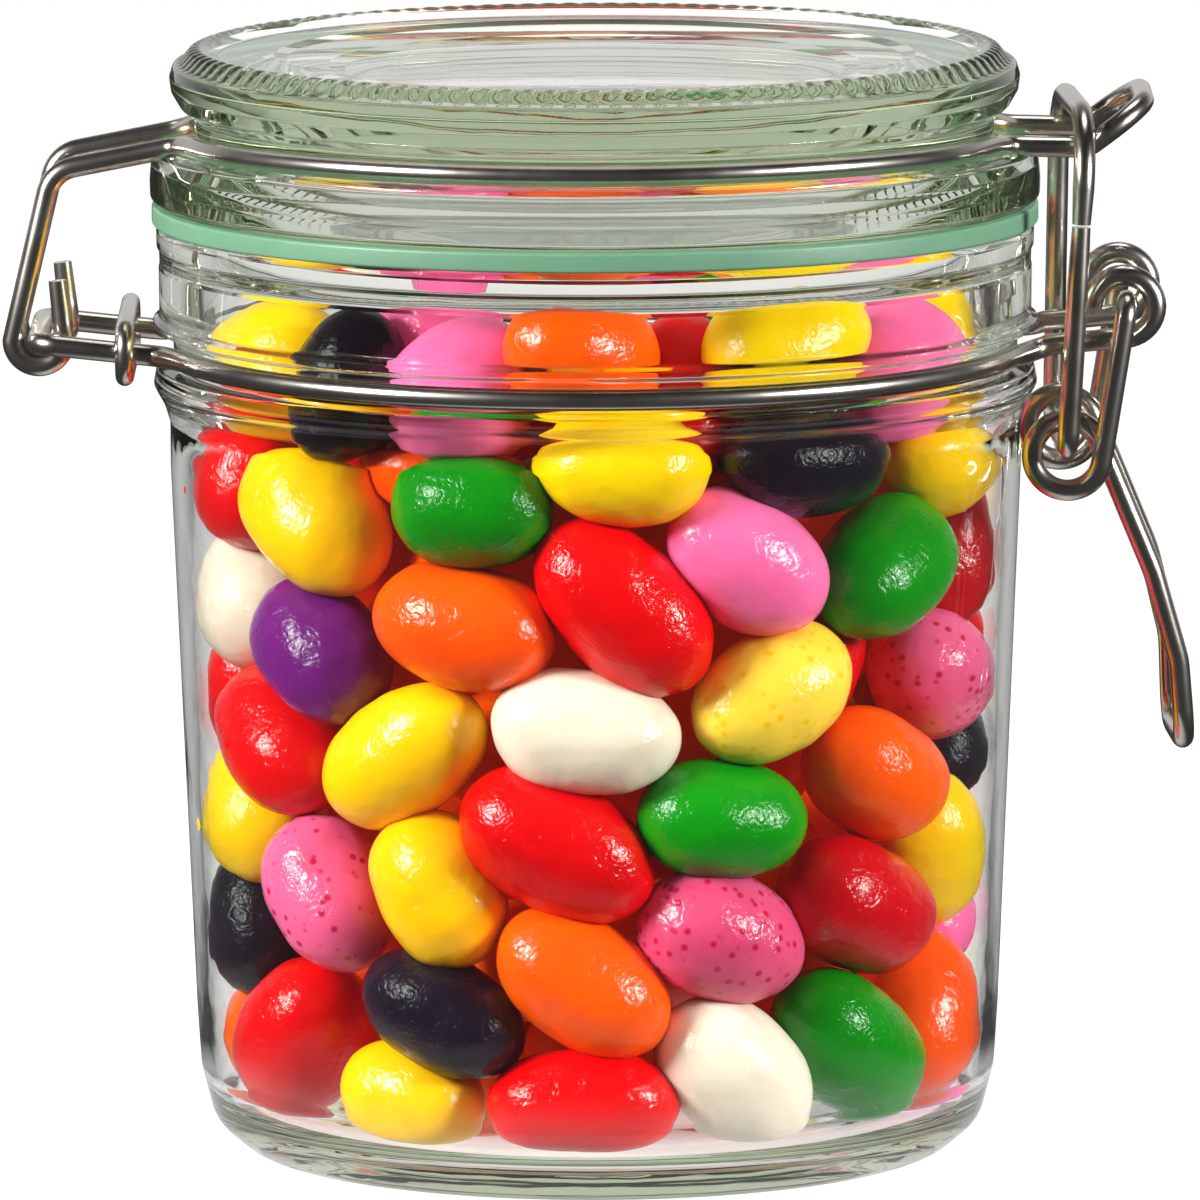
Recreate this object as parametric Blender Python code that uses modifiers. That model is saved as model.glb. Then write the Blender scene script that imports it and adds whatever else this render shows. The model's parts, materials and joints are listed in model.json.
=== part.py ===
"""Clip-top glass jar filled with jelly beans, shut and latched.

A pressed glass jar and lid meet on a rubber ring.  Two bent wires carry the
lid: one round the jar's neck, one round the lid, hooked together at the left.
At the right a lever pivots in the neck wire's two eyes and pulls a loop down
over the lid wire's tongue.  The origin is under the jar's axis, on the surface
that it stands on; the hinge is at -X and the latch at +X.
"""
import math
import random

import bmesh
import bpy
from mathutils import Vector

MM = 0.001

# Driving dimensions, in millimetres
FOOT_RADIUS = 33.3
HEEL_RADIUS = 8.5
BODY_LOW_RADIUS = 43.05
BODY_TOP_RADIUS = 45.55
SHOULDER_HEIGHT = 78.5
BEAD_RADIUS = 47.2
NECK_RADIUS = 46.6
NECK_BORE = 41.8
RIM_HEIGHT = 99.8
WALL = 1.8
FLOOR_HEIGHT = 5.0
SEAL_RADIUS = 47.35
SEAL_BORE = 41.0
SEAL_LOW = 100.1
SEAL_HIGH = 101.9
LID_LOW = 102.2
LID_FLANGE_RADIUS = 47.55
LID_TOP_RADIUS = 45.4
LID_HEIGHT = 118.9
NECK_WIRE_HEIGHT = 86.6
NECK_WIRE_LOOP = 46.8
LID_WIRE_HEIGHT = 109.8
LID_WIRE_LOOP = 44.3
WIRE_RADIUS = 1.15
LID_WIRE_RADIUS = 1.12
CLIP_WIRE_RADIUS = 1.0
HINGE_BAR = (-59.3, 88.2)
HINGE_HALF_WIDTH = 11.2
HOOK_HALF_WIDTH = 8.2
LATCH_HALF_WIDTH = 10.0
EYE_CENTRE = (56.2, 91.7)
EYE_LOOP = 3.4
COIL_CENTRE = (50.1, 76.0)
COIL_LOOP = 3.7
COIL_OUT = 12.9
COIL_IN = 10.3
LOOP_HALF_WIDTH = 15.6
LOOP_LOW = 76.8
LOOP_HIGH = 112.4
JOINT_GAP = 0.4
HEAP_LOW = 6.1
HEAP_MIDDLE = 50.0
HEAP_TOP = 95.0
HEAP_CLEARANCE = 0.5
HEAP_DIMPLE = 4.0
BEAN_HALF_LENGTH = 9.5
BEAN_HALF_WIDTH = 6.5

TURN_STEPS = 32
RING_POINTS = 15


def clear_scene():
    for old in list(bpy.data.objects):
        bpy.data.objects.remove(old, do_unlink=True)


def make_material(name, colour, metallic=0.0, roughness=0.4, transmission=0.0):
    material = bpy.data.materials.new(name)
    material.use_nodes = True
    shader = material.node_tree.nodes["Principled BSDF"]
    shader.inputs["Base Color"].default_value = (*colour, 1.0)
    shader.inputs["Metallic"].default_value = metallic
    shader.inputs["Roughness"].default_value = roughness
    shader.inputs["Transmission Weight"].default_value = transmission
    return material


def finish(obj, collection, material):
    obj.data.materials.append(material)
    collection.objects.link(obj)


def arc(centre, radius, start, end, count):
    """Points on an arc in a plane, angles in degrees from the first axis."""
    points = []
    for i in range(count + 1):
        angle = math.radians(start + (end - start) * i / count)
        points.append((centre[0] + radius * math.cos(angle), centre[1] + radius * math.sin(angle)))
    return points


def turned(name, profile, collection, material, closed=False):
    """A profile of (radius, height) turned round the vertical axis."""
    vertices = [(radius * MM, 0.0, height * MM) for radius, height in profile]
    edges = [(i, i + 1) for i in range(len(profile) - 1)]
    if closed:
        edges.append((len(profile) - 1, 0))
    mesh = bpy.data.meshes.new(name)
    mesh.from_pydata(vertices, edges, [])
    obj = bpy.data.objects.new(name, mesh)
    screw = obj.modifiers.new("turn", "SCREW")
    screw.axis = "Z"
    screw.angle = math.tau
    screw.steps = TURN_STEPS
    screw.render_steps = TURN_STEPS
    screw.use_merge_vertices = True
    screw.merge_threshold = 0.00005
    screw.use_smooth_shade = True
    finish(obj, collection, material)
    return obj


def bend(points, radii, step=30.0):
    """Round the inner corners of a route; a radius of 0 leaves its corner."""
    route = [Vector(points[0])]
    for i in range(1, len(points) - 1):
        corner = Vector(points[i])
        if not radii[i]:
            route.append(corner)
            continue
        back = (Vector(points[i - 1]) - corner).normalized()
        ahead = (Vector(points[i + 1]) - corner).normalized()
        half = back.angle(ahead) / 2.0
        turn = math.pi - 2.0 * half
        centre = corner + (back + ahead).normalized() * radii[i] / math.sin(half)
        start = corner + back * radii[i] / math.tan(half) - centre
        end = corner + ahead * radii[i] / math.tan(half) - centre
        count = max(2, round(math.degrees(turn) / step))
        for k in range(count + 1):
            share = k / count
            weight_start = math.sin((1.0 - share) * turn) / math.sin(turn)
            weight_end = math.sin(share * turn) / math.sin(turn)
            route.append(centre + start * weight_start + end * weight_end)
    route.append(Vector(points[-1]))
    return route


def wire(name, route, radius, collection, material, cyclic=False):
    """A round wire along a route given in millimetres."""
    curve = bpy.data.curves.new(name, "CURVE")
    curve.dimensions = "3D"
    curve.bevel_depth = radius * MM
    curve.bevel_resolution = 2
    curve.use_fill_caps = not cyclic
    spline = curve.splines.new("POLY")
    spline.points.add(len(route) - 1)
    for point, place in zip(spline.points, route):
        point.co = (place[0] * MM, place[1] * MM, place[2] * MM, 1.0)
    spline.use_cyclic_u = cyclic
    spline.use_smooth = True
    obj = bpy.data.objects.new(name, curve)
    finish(obj, collection, material)
    return obj


def mirrored(half):
    """A route and its mirror image in the XZ plane, joined end to end."""
    return half + [Vector((p[0], -p[1], p[2])) for p in reversed(half)]


def in_plane(points, y):
    return [(x, y, z) for x, z in points]


def front_half_ring(radius, height, y_left, y_right, lift):
    """The ring's front half from left to right; its two ends stand off by lift."""
    start = math.pi + math.asin(y_left / radius)
    end = math.tau - math.asin(y_right / radius)
    points = []
    for i in range(RING_POINTS):
        angle = start + (end - start) * i / (RING_POINTS - 1)
        x = radius * math.cos(angle)
        points.append((x, radius * math.sin(angle), height + lift * (x / radius) ** 4))
    return points


def jar_profile():
    """Inside floor, up the wall, over the rim, down the outside to the push-up."""
    inner = [(0.0, FLOOR_HEIGHT + 0.5), (28.0, FLOOR_HEIGHT + 0.1)]
    inner += arc((34.0, FLOOR_HEIGHT + 6.6), 6.6, -90.0, 0.0, 4)
    inner += [
        (BODY_LOW_RADIUS - WALL, 19.0),
        (BODY_TOP_RADIUS - WALL - 0.6, 62.0),
        (BODY_TOP_RADIUS - WALL - 0.8, 75.0),
        (NECK_BORE + 0.3, 83.0),
        (NECK_BORE, 94.0),
        (NECK_BORE - 1.2, 98.4),
    ]
    rim = [(NECK_BORE - 0.4, 99.5), (NECK_BORE + 1.0, RIM_HEIGHT), (NECK_RADIUS - 0.8, RIM_HEIGHT)]
    neck = [
        (NECK_RADIUS + 0.2, 99.0),
        (NECK_RADIUS + 0.2, 97.4),
        (NECK_RADIUS - 0.1, 96.9),
        (NECK_RADIUS, 92.0),
        (NECK_RADIUS + 0.7, 90.4),
        (NECK_RADIUS + 0.7, 89.2),
        (NECK_RADIUS + 0.2, 88.6),
        (NECK_RADIUS - 1.8, 88.3),
        (NECK_RADIUS - 1.8, 84.9),
    ]
    bead = [
        (BEAD_RADIUS - 0.6, 84.5),
        (BEAD_RADIUS, 83.4),
        (BEAD_RADIUS - 0.2, 82.0),
        (BEAD_RADIUS - 1.1, 80.4),
    ]
    side = [(BODY_TOP_RADIUS, SHOULDER_HEIGHT), (BODY_LOW_RADIUS, 14.5), (BODY_LOW_RADIUS - 0.45, 11.3)]
    heel = arc((FOOT_RADIUS, HEEL_RADIUS), HEEL_RADIUS, 0.0, -90.0, 5)
    foot = [(28.0, 0.0), (26.0, 0.9), (0.0, 1.4)]
    return inner + rim + neck + bead + side + heel + foot


def lid_profile():
    """Sunk top disc, knurled rim, wire groove, flange, plug, and the hollow under."""
    top = [
        (0.0, 116.4),
        (26.8, 116.4),
        (28.2, 116.7),
        (32.6, 117.6),
        (34.0, 117.8),
        (39.8, 117.8),
        (41.4, 118.4),
        (42.6, LID_HEIGHT),
        (43.8, 118.4),
        (44.9, 117.0),
    ]
    rim = [(LID_TOP_RADIUS, 115.3), (LID_TOP_RADIUS - 0.2, 114.0), (LID_TOP_RADIUS - 1.3, 112.3)]
    groove = [(42.8, 111.6), (42.3, 110.8), (42.3, 108.4), (43.0, 107.5)]
    flange = [
        (45.8, 107.1),
        (LID_FLANGE_RADIUS - 0.4, 106.2),
        (LID_FLANGE_RADIUS, 105.0),
        (LID_FLANGE_RADIUS, 103.1),
        (LID_FLANGE_RADIUS - 0.6, LID_LOW),
    ]
    plug = [(40.2, LID_LOW), (39.7, 101.8), (39.4, 98.8), (38.6, 98.1), (37.2, 98.2), (36.4, 99.4)]
    hollow = [(35.6, 104.0), (34.0, 109.0), (31.0, 111.6), (26.0, 112.4), (0.0, 112.8)]
    return top + rim + groove + flange + plug + hollow


def seal_profile():
    edge = 0.4
    return [
        (SEAL_BORE, SEAL_HIGH),
        (SEAL_RADIUS - edge, SEAL_HIGH),
        (SEAL_RADIUS, SEAL_HIGH - edge),
        (SEAL_RADIUS, SEAL_LOW + edge),
        (SEAL_RADIUS - edge, SEAL_LOW),
        (SEAL_BORE, SEAL_LOW),
    ]


def neck_wire_route():
    """From the hinge bar's middle round the front to the near eye, then mirrored."""
    hinge_x, hinge_z = HINGE_BAR
    near = -HINGE_HALF_WIDTH
    left = [
        (hinge_x, 0.0, hinge_z),
        (hinge_x, near, hinge_z),
        (-51.0, near, hinge_z - 0.9),
        (-46.4, near, NECK_WIRE_HEIGHT + 0.2),
    ]
    ring = front_half_ring(NECK_WIRE_LOOP, NECK_WIRE_HEIGHT, 15.5, 14.5, 0.3)
    eye_low = EYE_CENTRE[1] - EYE_LOOP
    right = [(47.0, -LATCH_HALF_WIDTH, NECK_WIRE_HEIGHT + 0.5), (50.4, -LATCH_HALF_WIDTH, eye_low)]
    points = left + ring + right
    radii = [0.0, 2.0, 0.0, 2.6] + [0.0] * len(ring) + [2.6, 0.0]
    eye = in_plane(arc(EYE_CENTRE, EYE_LOOP, -90.0, 180.0, 9), -LATCH_HALF_WIDTH)
    half = bend(points, radii) + [Vector(p) for p in eye]
    return [Vector((p[0], -p[1], p[2])) for p in reversed(half)][:-1] + half


def lid_wire_route():
    """From the near hook up and round the front to the tongue, then mirrored."""
    near = -HOOK_HALF_WIDTH
    hook_x, hook_z = HINGE_BAR[0], HINGE_BAR[1]
    hook = in_plane(arc((hook_x + 0.05, hook_z), 2.75, 0.0, -180.0, 8), near)
    points = [(-57.2, near, 94.6)] + hook
    points += [(-57.7, near, 106.3), (-44.5, near, LID_WIRE_HEIGHT - 0.9)]
    ring = front_half_ring(LID_WIRE_LOOP, LID_WIRE_HEIGHT, 12.8, 14.2, -0.7)
    tongue_z = LID_WIRE_HEIGHT - 1.1
    tongue = [
        (43.8, -LATCH_HALF_WIDTH, tongue_z + 0.2),
        (52.3, -LATCH_HALF_WIDTH, tongue_z),
        (58.4, -LATCH_HALF_WIDTH, tongue_z + 4.5),
    ]
    points += ring + tongue + [(58.4, 0.0, tongue_z + 4.5)]
    radii = [0.0] * (len(hook) + 1) + [3.6, 2.4] + [0.0] * len(ring) + [2.4, 2.6, 5.0, 0.0]
    return mirrored(bend(points, radii)[:-1])


def lever_route():
    """Pivot pin, leg, one coil turn and the handle's near wire, then mirrored."""
    pin = (56.5, 92.3)
    leg_end, handle_start = -9.0, -338.0
    coil = []
    for i in range(17):
        share = i / 16
        angle = math.radians(leg_end + (handle_start - leg_end) * share)
        x = COIL_CENTRE[0] + COIL_LOOP * math.cos(angle)
        z = COIL_CENTRE[1] + COIL_LOOP * math.sin(angle)
        coil.append((x, -COIL_OUT + (COIL_OUT - COIL_IN) * share, z))
    points = [(pin[0], -8.3, pin[1]), (pin[0], -COIL_OUT, pin[1])] + coil
    points += [(59.4, -10.0, 63.2), (61.9, -9.2, 53.6), (62.4, -8.4, 44.6), (62.4, 0.0, 44.6)]
    radii = [0.0, 1.8] + [0.0] * len(coil) + [0.0, 9.0, 4.0, 0.0]
    route = mirrored(bend(points, radii)[:-1])
    twist_top, twist = 60.0, 0.0035
    for point in route:
        point.x -= twist * max(0.0, twist_top - point.z) * point.y
    return route


def loop_place(y, z):
    """The loop's plane leans out towards the top and is a little twisted."""
    share = (z - LOOP_LOW) / (LOOP_HIGH - LOOP_LOW)
    return (49.75 + 1.35 * share - y * (0.022 + 0.045 * share), y, z)


def loop_route():
    """A closed loop of wire whose cut ends meet in the near leg."""
    joint = 101.0
    wide = LOOP_HALF_WIDTH
    middle = (LOOP_LOW + LOOP_HIGH) / 2.0
    corners = [
        (-wide, joint + JOINT_GAP / 2.0),
        (-wide, LOOP_HIGH),
        (wide, LOOP_HIGH),
        (wide, middle),
        (wide, LOOP_LOW),
        (-wide, LOOP_LOW),
        (-wide, middle),
        (-wide, joint - JOINT_GAP / 2.0),
    ]
    radii = [0.0, 7.5, 7.5, 0.0, 2.2, 2.2, 0.0, 0.0]
    return bend([loop_place(y, z) for y, z in corners], radii, 22.5)


def clip_route():
    """A small oblong link that holds the neck wire's two ends together."""
    reach, rise, centre_x, centre_z = 13.75, 2.55, -50.0, 87.25
    points = []
    for y, z, start in ((1, 1, 0.0), (-1, 1, 90.0), (-1, -1, 180.0), (1, -1, 270.0)):
        centre = (y * (reach - 2.2), centre_z + z * (rise - 2.2))
        points += [(centre_x, a, b) for a, b in arc(centre, 2.2, start, start + 90.0, 3)]
    return points


def bean_lumps(rng):
    """Centres and long axes of the beans that press against the wall and top."""
    lumps = []
    for row in range(7):
        height = 12.0 + 12.6 * row
        for k in range(15):
            angle = math.tau * (k + 0.5 * (row % 2)) / 15 + rng.uniform(-0.06, 0.06)
            radius = 35.0 + rng.uniform(-1.2, 0.6) - (1.2 if row > 5 else 0.0)
            tilt = rng.uniform(-1.2, 1.2)
            centre = Vector((radius * math.cos(angle), radius * math.sin(angle), height))
            along = Vector((-math.sin(angle) * math.cos(tilt), math.cos(angle) * math.cos(tilt),
                            math.sin(tilt)))
            lumps.append((centre, along))
    for k in range(11):
        reach = 0.0 if k == 0 else (13.0 if k < 5 else 25.0)
        angle = math.tau * k / (4 if k < 5 else 6) + rng.uniform(-0.2, 0.2)
        centre = Vector((reach * math.cos(angle), reach * math.sin(angle), HEAP_TOP - 6.6))
        lumps.append((centre, Vector((math.cos(2.3 * k), math.sin(2.3 * k), 0.1)).normalized()))
    return lumps


def reach_of_heap(origin, direction, lumps):
    """Distance along a ray to the far side of the outermost bean it meets."""
    best = 0.0
    for centre, along in lumps:
        to_origin = origin - centre
        flat_ray = direction + along * direction.dot(along) * (BEAN_HALF_WIDTH / BEAN_HALF_LENGTH - 1.0)
        flat_from = to_origin + along * to_origin.dot(along) * (BEAN_HALF_WIDTH / BEAN_HALF_LENGTH - 1.0)
        a = flat_ray.length_squared
        b = 2.0 * flat_ray.dot(flat_from)
        c = flat_from.length_squared - BEAN_HALF_WIDTH ** 2
        inside = b * b - 4.0 * a * c
        if inside > 0.0:
            best = max(best, (-b + math.sqrt(inside)) / (2.0 * a))
    return best


def wall_inside(height):
    """Radius of the jar's inside at a height, between its named places."""
    places = [(5.1, 33.0), (6.5, 37.8), (9.0, 40.0), (11.6, 40.6), (19.0, 41.2), (62.0, 43.1),
              (75.0, 42.9), (83.0, 42.1), (94.0, 41.8), (98.0, 40.8)]
    for (low, low_radius), (high, high_radius) in zip(places, places[1:]):
        if height <= high:
            share = max(0.0, (height - low) / (high - low))
            return low_radius + (high_radius - low_radius) * share
    return places[-1][1]


def inside_jar(place):
    """Whether a place is clear of the glass and below the top of the heap."""
    radius = math.hypot(place.x, place.y)
    return HEAP_LOW < place.z < HEAP_TOP and radius < wall_inside(place.z) - HEAP_CLEARANCE


def heap_point(direction, lumps):
    """Where a ray from the heap's middle leaves its uneven outline."""
    middle = Vector((0.0, 0.0, HEAP_MIDDLE))
    low, high = 0.0, 80.0
    for _ in range(16):
        reach = (low + high) / 2.0
        if inside_jar(middle + direction * reach):
            low = reach
        else:
            high = reach
    bean = reach_of_heap(middle, direction, lumps)
    return middle + direction * min(low, max(bean, low - HEAP_DIMPLE))


def heap_of_beans(name, collection, material):
    """One solid: a sphere pushed out, point by point, to the heap's outline."""
    lumps = bean_lumps(random.Random(7))
    bm = bmesh.new()
    bmesh.ops.create_uvsphere(bm, u_segments=TURN_STEPS, v_segments=20, radius=1.0)
    for vert in bm.verts:
        vert.co = heap_point(vert.co.normalized(), lumps) * MM
    mesh = bpy.data.meshes.new(name)
    bm.to_mesh(mesh)
    bm.free()
    mesh.shade_smooth()
    finish(bpy.data.objects.new(name, mesh), collection, material)


def build():
    clear_scene()
    parts = bpy.data.collections.new("jar_of_jelly_beans")
    bpy.context.scene.collection.children.link(parts)

    glass = make_material("green_tinted_glass", (0.78, 0.88, 0.80), 0.0, 0.05, 0.9)
    rubber = make_material("mint_rubber", (0.27, 0.59, 0.44), 0.0, 0.55)
    steel = make_material("drawn_steel_wire", (0.46, 0.44, 0.41), 1.0, 0.22)
    sugar = make_material("sugar_shell", (0.75, 0.14, 0.05), 0.0, 0.25)

    turned("jar_glass", jar_profile(), parts, glass)
    turned("lid_glass", lid_profile(), parts, glass)
    turned("seal_ring", seal_profile(), parts, rubber, closed=True)
    heap_of_beans("jelly_beans", parts, sugar)
    wire("neck_wire", neck_wire_route(), WIRE_RADIUS, parts, steel)
    wire("lid_wire", lid_wire_route(), LID_WIRE_RADIUS, parts, steel)
    wire("latch_lever", lever_route(), WIRE_RADIUS, parts, steel)
    wire("latch_loop", loop_route(), WIRE_RADIUS, parts, steel)
    wire("hinge_clip", clip_route(), CLIP_WIRE_RADIUS, parts, steel, cyclic=True)


build()
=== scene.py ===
"""The looks of a clip-top glass jar of jelly beans: shut, latched, on a pale floor.

One section for each piece or group of pieces: the camera and the studio, the jar's glass, the lid,
the rubber ring, the wires, the beans, and last what the lamps may reach.  Sizes are in millimetres
until a mesh is made, and in metres inside a material.
"""
import json
import math
import random

import bpy
import numpy as np
from mathutils import Matrix, Vector

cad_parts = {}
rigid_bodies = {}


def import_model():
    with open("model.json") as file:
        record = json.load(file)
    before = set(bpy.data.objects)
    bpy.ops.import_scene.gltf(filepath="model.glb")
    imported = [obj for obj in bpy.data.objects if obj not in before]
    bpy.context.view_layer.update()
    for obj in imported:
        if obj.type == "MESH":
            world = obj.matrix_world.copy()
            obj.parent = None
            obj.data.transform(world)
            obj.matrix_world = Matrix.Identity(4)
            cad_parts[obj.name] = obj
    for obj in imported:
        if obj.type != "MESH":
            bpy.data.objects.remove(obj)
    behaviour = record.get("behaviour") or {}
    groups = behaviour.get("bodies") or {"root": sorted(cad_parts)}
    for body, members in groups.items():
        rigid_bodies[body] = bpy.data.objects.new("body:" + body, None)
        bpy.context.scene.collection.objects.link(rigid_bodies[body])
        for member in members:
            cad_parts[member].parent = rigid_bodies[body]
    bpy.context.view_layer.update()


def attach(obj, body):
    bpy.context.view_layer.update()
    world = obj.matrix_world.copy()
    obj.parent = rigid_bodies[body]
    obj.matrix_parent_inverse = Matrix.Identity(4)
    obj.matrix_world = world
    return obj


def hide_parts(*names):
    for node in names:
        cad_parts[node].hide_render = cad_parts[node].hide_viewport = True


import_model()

# ---------------------------------------------------------------------------
# The studio: a pale floor that runs out of sight, a bright surround behind the
# jar, a dark room in front of it, a softbox low at each side and a faint one above.
# ---------------------------------------------------------------------------
MM = 0.001
CAMERA_DISTANCE = 1750.0
CAMERA_RISE = 8.2
AIM = Vector((0.4, 0.0, 58.9))
PICTURE_LEAN = 0.18
LENS_LENGTH = 489.8

bpy.ops.object.select_all(action="DESELECT")
rise = math.radians(CAMERA_RISE)
eye = AIM + Vector((0.0, -math.cos(rise), math.sin(rise))) * CAMERA_DISTANCE
bpy.ops.object.camera_add(location=eye * MM)
camera = bpy.context.object
camera.rotation_mode = "QUATERNION"
facing = (AIM - eye).to_track_quat("-Z", "Y")
camera.rotation_quaternion = facing @ Matrix.Rotation(math.radians(-PICTURE_LEAN), 3, "Z").to_quaternion()
camera.data.sensor_width = 36.0
camera.data.lens = LENS_LENGTH
camera.data.clip_start = 0.05
camera.data.clip_end = 30.0
bpy.context.scene.camera = camera
bpy.context.scene.view_settings.view_transform = "Standard"
bpy.context.scene.cycles.caustics_reflective = False
bpy.context.scene.cycles.caustics_refractive = False
# A ray that is mirrored many times inside thick glass is followed to its end, or the glass goes black.
bpy.context.scene.cycles.max_bounces = 24
bpy.context.scene.cycles.glossy_bounces = 16
bpy.context.scene.cycles.transmission_bounces = 20
# The glints on the beans' shells are seen through glass, and a lower limit would take them away.
bpy.context.scene.cycles.sample_clamp_indirect = 60.0


def linear(code):
    """A colour given as sRGB hex, as linear red, green, blue and alpha."""
    channels = [int(code[i:i + 2], 16) / 255.0 for i in (1, 3, 5)]
    return (*[c / 12.92 if c <= 0.04045 else ((c + 0.055) / 1.055) ** 2.4 for c in channels], 1.0)


def add_node(tree, kind, settings=None, inputs=None):
    """Adds a node, sets its properties, and sets or links its inputs."""
    node = tree.nodes.new(kind)
    for name, value in (settings or {}).items():
        setattr(node, name, value)
    for name, value in (inputs or {}).items():
        if isinstance(value, bpy.types.NodeSocket):
            tree.links.new(value, node.inputs[name])
        else:
            node.inputs[name].default_value = value
    return node


FLOOR_WIDTH = 12000.0
FLOOR_GAP = 0.2
bpy.ops.mesh.primitive_plane_add(size=FLOOR_WIDTH * MM, location=(0.0, 0.0, -FLOOR_GAP * MM))
floor = bpy.context.object
floor.name = "floor"
floor_paint = bpy.data.materials.new("white_paper_sweep")
floor_paint.use_nodes = True
floor_shader = floor_paint.node_tree.nodes["Principled BSDF"]
floor_shader.inputs["Specular IOR Level"].default_value = 0.0
floor_shader.inputs["Roughness"].default_value = 0.9
floor_shader.inputs["Emission Color"].default_value = linear("#ffffff")
paper = floor_paint.node_tree
# A ray that has only gone straight on, through glass or not, sees white paper.  A ray that has been
# mirrored sees a dark floor, so that the glass doesn't veil the beans: it is bright only close under
# the jar and, for a ray that comes from inside the glass, straight behind the jar.
floor_rays = add_node(paper, "ShaderNodeLightPath")
floor_turned = add_node(paper, "ShaderNodeMath", {"operation": "SUBTRACT"},
                        {0: floor_rays.outputs["Ray Depth"], 1: floor_rays.outputs["Transmission Depth"]})
floor_straight = add_node(paper, "ShaderNodeMath", {"operation": "LESS_THAN"},
                          {0: floor_turned.outputs["Value"], 1: 0.5})
floor_place = add_node(paper, "ShaderNodeTexCoord")
floor_distance = add_node(paper, "ShaderNodeVectorMath", {"operation": "LENGTH"},
                          {"Vector": floor_place.outputs["Object"]})
floor_share = add_node(paper, "ShaderNodeMapRange", {"interpolation_type": "SMOOTHSTEP"},
                       {"Value": floor_distance.outputs["Value"], "From Min": 0.05, "From Max": 0.085,
                        "To Min": 0.8, "To Max": 0.04})
floor_split = add_node(paper, "ShaderNodeSeparateXYZ", inputs={"Vector": floor_place.outputs["Object"]})
floor_bearing = add_node(paper, "ShaderNodeMath", {"operation": "DIVIDE"},
                         {0: floor_split.outputs["Y"], 1: floor_distance.outputs["Value"]})
floor_beside = add_node(paper, "ShaderNodeMapRange", {"interpolation_type": "SMOOTHSTEP"},
                        {"Value": floor_bearing.outputs["Value"], "From Min": 0.7, "From Max": 0.95,
                         "To Min": 0.0, "To Max": 0.8})
floor_in_glass = add_node(paper, "ShaderNodeMath", {"operation": "GREATER_THAN"},
                          {0: floor_rays.outputs["Transmission Depth"], 1: 0.5})
floor_glazed = add_node(paper, "ShaderNodeMath", {"operation": "MULTIPLY"},
                        {0: floor_beside.outputs["Result"], 1: floor_in_glass.outputs["Value"]})
floor_near = add_node(paper, "ShaderNodeMath", {"operation": "MAXIMUM"},
                      {0: floor_share.outputs["Result"], 1: floor_glazed.outputs["Value"]})
floor_most = add_node(paper, "ShaderNodeMath", {"operation": "MAXIMUM"},
                      {0: floor_near.outputs["Value"], 1: floor_straight.outputs["Value"]})
floor_glow = add_node(paper, "ShaderNodeMath", {"operation": "MULTIPLY"},
                      {0: floor_most.outputs["Value"], 1: 0.95})
floor_tone = add_node(paper, "ShaderNodeMix", {"data_type": "RGBA"},
                      {"Factor": floor_straight.outputs["Value"],
                       "A": linear("#181818"), "B": linear("#8a8a88")})
paper.links.new(floor_tone.outputs["Result"], floor_shader.inputs["Base Color"])
paper.links.new(floor_glow.outputs["Value"], floor_shader.inputs["Emission Strength"])
# The paper's own glow is not a lamp: as one, it would only add noise.
floor_paint.cycles.emission_sampling = "NONE"
floor.data.materials.append(floor_paint)

# The surround is white for a straight ray, as the floor is.  For a mirrored one it is bright only
# towards the back and the horizon, and from inside the glass also overhead.
surround = bpy.data.worlds.new("studio_surround")
surround.use_nodes = True
bpy.context.scene.world = surround
sky = surround.node_tree
sky.nodes.clear()
direction = add_node(sky, "ShaderNodeTexCoord")
split = add_node(sky, "ShaderNodeSeparateXYZ", inputs={"Vector": direction.outputs["Generated"]})
behind_share = add_node(sky, "ShaderNodeMapRange", {"interpolation_type": "SMOOTHSTEP"},
                        {"Value": split.outputs["Y"], "From Min": 0.3, "From Max": 0.95,
                         "To Min": 0.05, "To Max": 0.75})
overhead = add_node(sky, "ShaderNodeMapRange", {"interpolation_type": "SMOOTHSTEP"},
                    {"Value": split.outputs["Z"], "From Min": 0.15, "From Max": 0.75,
                     "To Min": 1.0, "To Max": 0.3})
room = add_node(sky, "ShaderNodeMath", {"operation": "MULTIPLY"},
                {0: behind_share.outputs["Result"], 1: overhead.outputs["Result"]})
rays = add_node(sky, "ShaderNodeLightPath")
turned_back = add_node(sky, "ShaderNodeMath", {"operation": "SUBTRACT"},
                       {0: rays.outputs["Ray Depth"], 1: rays.outputs["Transmission Depth"]})
straight = add_node(sky, "ShaderNodeMath", {"operation": "LESS_THAN"},
                    {0: turned_back.outputs["Value"], 1: 0.5})
beside = add_node(sky, "ShaderNodeMapRange", {"interpolation_type": "SMOOTHSTEP"},
                  {"Value": split.outputs["Y"], "From Min": 0.15, "From Max": 0.85,
                   "To Min": 0.0, "To Max": 0.8})
# One to three passes through glass: inside the jar's wall or the lid, but not at a bean's shell.
in_glass = add_node(sky, "ShaderNodeMath", {"operation": "COMPARE"},
                    {0: rays.outputs["Transmission Depth"], 1: 2.0, 2: 1.5})
above = add_node(sky, "ShaderNodeMapRange", {"interpolation_type": "SMOOTHSTEP"},
                 {"Value": split.outputs["Z"], "From Min": 0.05, "From Max": 0.5,
                  "To Min": 0.0, "To Max": 0.8})
beside_or_above = add_node(sky, "ShaderNodeMath", {"operation": "MAXIMUM"},
                           {0: beside.outputs["Result"], 1: above.outputs["Result"]})
glazed = add_node(sky, "ShaderNodeMath", {"operation": "MULTIPLY"},
                  {0: beside_or_above.outputs["Value"], 1: in_glass.outputs["Value"]})
indirect = add_node(sky, "ShaderNodeMath", {"operation": "MAXIMUM"},
                    {0: room.outputs["Value"], 1: glazed.outputs["Value"]})
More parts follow.
